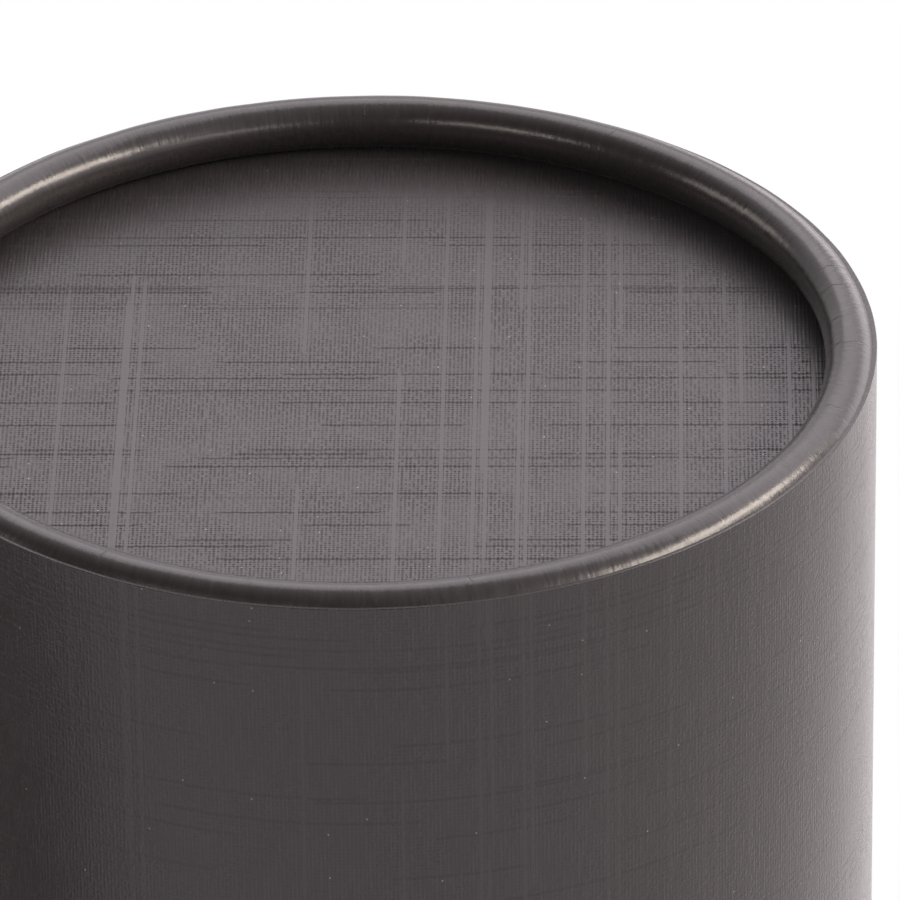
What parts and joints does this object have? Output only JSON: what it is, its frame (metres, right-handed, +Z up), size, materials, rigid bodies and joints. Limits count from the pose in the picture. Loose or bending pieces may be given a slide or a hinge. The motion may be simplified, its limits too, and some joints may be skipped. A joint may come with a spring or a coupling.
{
  "type": "cardboard tube box",
  "caption": "Round cardboard tube box with rolled bead rims, recessed end discs, linen-embossed paper and a lift-off lid over an inner neck.",
  "frame": {"origin": "centre of the circle that the base stands on", "axes": "+Z up along the tube's axis, towards the lid"},
  "size_m": [0.09, 0.09, 0.2],
  "materials": {
    "linen_paper": "black linen-embossed paper over board, satin",
    "neck_paper": "black plain paper over board, matte"
  },
  "bodies": {
    "base": {"base_shell": "linen_paper", "base_disc": "linen_paper", "neck_sleeve": "neck_paper"},
    "lid": {"lid_shell": "linen_paper", "lid_disc": "linen_paper"}
  },
  "joints": [
    {"name": "lid_lift", "type": "slide", "parent": "base", "child": "lid", "axis": [0, 0, 1], "range_m": [0, 0.05]}
  ]
}
